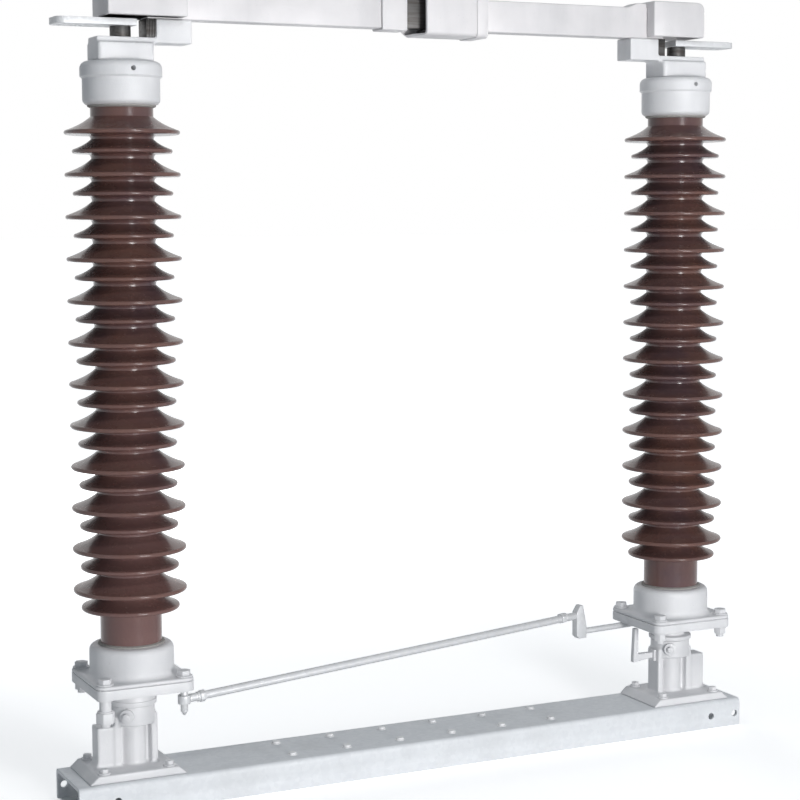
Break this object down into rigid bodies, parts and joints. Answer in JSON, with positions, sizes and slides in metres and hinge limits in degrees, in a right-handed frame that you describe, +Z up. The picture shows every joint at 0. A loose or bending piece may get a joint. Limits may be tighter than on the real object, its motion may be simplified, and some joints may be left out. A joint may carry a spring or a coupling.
{
  "type": "substation disconnect switch",
  "caption": "Centre-break disconnect switch pole: turning porcelain columns on a channel base, joined by a link rod, swing two contact arms open and closed.",
  "frame": {"origin": "middle of the base channel, on the surface that its flanges stand on", "axes": "+X along the base from the left column to the right one, +Y to the rear, +Z up"},
  "size_m": [1.456, 0.21, 1.527],
  "materials": {
    "silver_paint": "satin",
    "brown_glaze": "gloss",
    "galvanised": "satin",
    "contact_metal": "satin"
  },
  "bodies": {
    "base": {"base_channel": "galvanised", "left_pedestal": "silver_paint", "right_pedestal": "silver_paint", "stop_bracket": "silver_paint"},
    "left_column": {"left_turntable": "silver_paint", "left_lower_fitting": "silver_paint", "left_insulator": "brown_glaze", "left_upper_cap": "silver_paint", "left_contact_seat": "silver_paint", "left_arm": "silver_paint", "left_cover": "silver_paint", "left_contact_holder": "silver_paint", "contact_blade": "contact_metal"},
    "right_column": {"right_turntable": "silver_paint", "right_lower_fitting": "silver_paint", "right_insulator": "brown_glaze", "right_upper_cap": "silver_paint", "right_contact_seat": "silver_paint", "right_arm": "silver_paint", "right_cover": "silver_paint", "contact_hood": "silver_paint", "hood_collar": "silver_paint", "finger_block": "contact_metal", "upper_fingers": "contact_metal", "lower_fingers": "contact_metal"},
    "link": {"link_rod": "galvanised", "link_left_eye": "galvanised", "link_joggle": "galvanised", "link_lower_bar": "galvanised", "link_right_eye": "galvanised"},
    "left_terminal": {"left_terminal_pad": "galvanised", "left_terminal_stud": "galvanised"},
    "right_terminal": {"right_terminal_pad": "galvanised", "right_terminal_stud": "galvanised"}
  },
  "joints": [
    {"name": "left_turn", "type": "hinge", "parent": "base", "child": "left_column", "pos_m": [-0.6, 0, 0.188], "axis": [0, 0, -1], "range_deg": [0, 90]},
    {"name": "right_turn", "type": "hinge", "parent": "base", "child": "right_column", "pos_m": [0.6, 0, 0.188], "axis": [0, 0, 1], "range_deg": [0, 90]},
    {"name": "link_swing", "type": "hinge", "parent": "left_column", "child": "link", "pos_m": [-0.52434, -0.07566, 0.226], "axis": [0, 0, 1], "range_deg": [0, 90]},
    {"name": "left_terminal_turn", "type": "hinge", "parent": "left_column", "child": "left_terminal", "pos_m": [-0.6, 0, 1.417], "axis": [0, 0, 1], "range_deg": [0, 90]},
    {"name": "right_terminal_turn", "type": "hinge", "parent": "right_column", "child": "right_terminal", "pos_m": [0.6, 0, 1.417], "axis": [0, 0, -1], "range_deg": [0, 90]}
  ],
  "couplings": [
    {"joint": "right_turn", "follows": "left_turn", "ratio": 1},
    {"joint": "link_swing", "follows": "left_turn", "ratio": 1},
    {"joint": "left_terminal_turn", "follows": "left_turn", "ratio": 1},
    {"joint": "right_terminal_turn", "follows": "left_turn", "ratio": 1}
  ]
}
